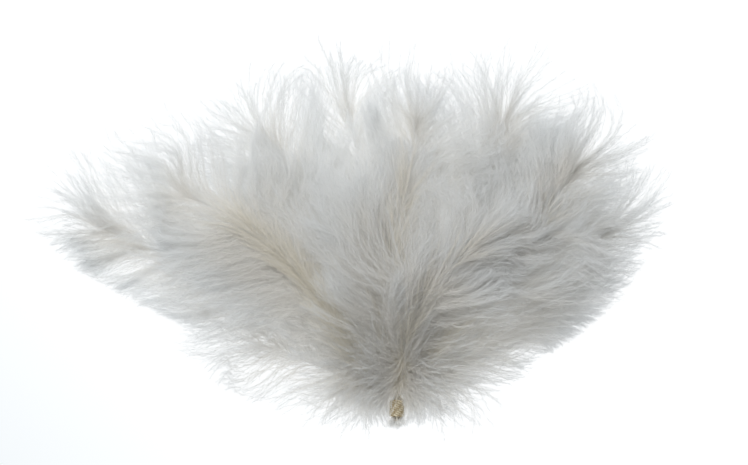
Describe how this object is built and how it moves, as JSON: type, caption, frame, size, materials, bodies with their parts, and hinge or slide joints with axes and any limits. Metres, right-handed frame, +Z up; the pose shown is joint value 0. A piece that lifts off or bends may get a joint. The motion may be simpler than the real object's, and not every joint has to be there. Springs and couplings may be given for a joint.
{
  "type": "marabou plume fan",
  "caption": "Fan of soft white marabou plumes, their bare quills gathered to a point and wound with thread, lying flat for craft, trim and costume use.",
  "frame": {"origin": "on the surface the fan lies on, under the middle of its outline", "axes": "+Z up from the surface, +X across the fan to the right, +Y from the bound quills to the plume tips"},
  "size_m": [0.2076, 0.1258, 0.0329],
  "materials": {
    "white_down": "soft matt white down, cooler at the tips and creamy along the shafts, letting light through where it is thin",
    "tan_thread": "twisted tan cotton thread"
  },
  "bodies": {
    "root": {"far_left_plume": "white_down", "mid_left_plume": "white_down", "lower_right_plume": "white_down", "small_down_plume": "white_down", "upper_left_plume": "white_down", "right_plume": "white_down", "left_plume": "white_down", "upper_right_plume": "white_down", "centre_plume": "white_down", "outer_right_plume": "white_down", "front_plume": "white_down", "binding_thread": "tan_thread"}
  },
  "joints": []
}
